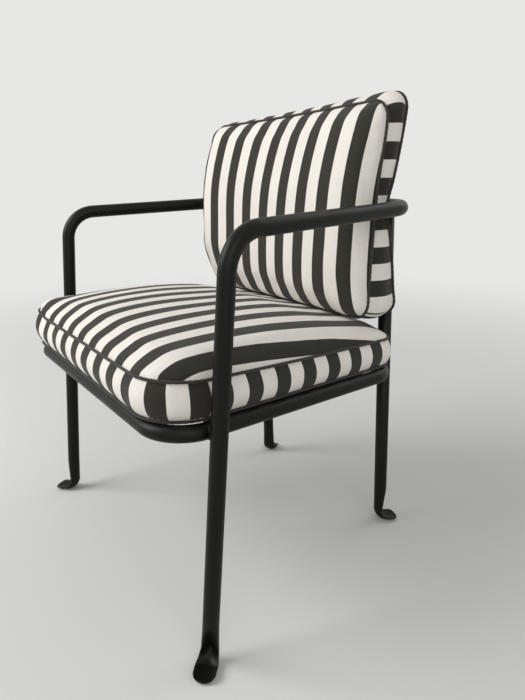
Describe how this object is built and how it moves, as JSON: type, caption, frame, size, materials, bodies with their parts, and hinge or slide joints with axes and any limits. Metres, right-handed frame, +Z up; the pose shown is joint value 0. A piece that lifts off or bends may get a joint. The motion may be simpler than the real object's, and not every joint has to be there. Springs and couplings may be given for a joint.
{
  "type": "patio armchair",
  "caption": "Armchair with a bent round-tube frame, pressed toes, a slung seat in a rounded ring, and loose boxed seat and back cushions in striped cloth with cord piping.",
  "frame": {"origin": "On the floor, under the middle of the chair in plan", "axes": "+Z up, the chair faces -Y, +X is the sitter's left"},
  "size_m": [0.7, 0.571, 0.8255],
  "materials": {
    "frame_paint": "matt, slightly textured powder coat",
    "bare_sleeve": "plain steel, hidden inside the tubes",
    "sling_channel": "matt dark paint",
    "sling_mesh": "dark woven mesh",
    "spline_nylon": "dark nylon",
    "glide_nylon": "dark nylon",
    "striped_cloth": "plain-woven outdoor cloth, even stripes of warm white and charcoal",
    "foam": "cushion filling, hidden",
    "piping_cord": "dark twisted cord piping",
    "zip_tape": "dark woven tape with a nylon coil",
    "zip_metal": "dull grey metal"
  },
  "bodies": {
    "chair": {"left_side_tube": "frame_paint", "left_rear_leg": "frame_paint", "left_front_spacer": "frame_paint", "left_rear_spacer": "frame_paint", "right_side_tube": "frame_paint", "right_rear_leg": "frame_paint", "right_front_spacer": "frame_paint", "right_rear_spacer": "frame_paint", "back_rail": "frame_paint", "seat_ring": "frame_paint", "left_rail_spigot": "bare_sleeve", "right_rail_spigot": "bare_sleeve", "seat_ring_sleeve": "bare_sleeve", "left_sling_channel": "sling_channel", "right_sling_channel": "sling_channel", "seat_sling": "sling_mesh", "left_sling_spline": "spline_nylon", "right_sling_spline": "spline_nylon", "left_front_glide": "glide_nylon", "left_rear_glide": "glide_nylon", "right_front_glide": "glide_nylon", "right_rear_glide": "glide_nylon", "seat_cushion_cover": "striped_cloth", "back_cushion_cover": "striped_cloth", "seat_cushion_core": "foam", "back_cushion_core": "foam", "seat_top_piping": "piping_cord", "seat_bottom_piping": "piping_cord", "back_front_piping": "piping_cord", "back_rear_piping": "piping_cord", "seat_zip_tape": "zip_tape", "back_zip_tape": "zip_tape"},
    "seat_slider": {"seat_zip_slider": "zip_metal"},
    "seat_pull": {"seat_zip_pull": "zip_metal"},
    "back_slider": {"back_zip_slider": "zip_metal"},
    "back_pull": {"back_zip_pull": "zip_metal"}
  },
  "joints": [
    {"name": "seat_zip_slide", "type": "slide", "parent": "chair", "child": "seat_slider", "axis": [1, 0, 0], "range_m": [-0.292, 0]},
    {"name": "seat_pull_turn", "type": "hinge", "parent": "seat_slider", "child": "seat_pull", "pos_m": [0.146, 0.2262, 0.3858], "axis": [0, 0, 1], "range_deg": [0, 170]},
    {"name": "back_zip_slide", "type": "slide", "parent": "chair", "child": "back_slider", "axis": [1, 0, 0], "range_m": [-0.292, 0]},
    {"name": "back_pull_swing", "type": "hinge", "parent": "back_slider", "child": "back_pull", "pos_m": [0.146, 0.1977, 0.4434], "axis": [0, 0.991, 0.1338], "range_deg": [-80, 80]}
  ]
}
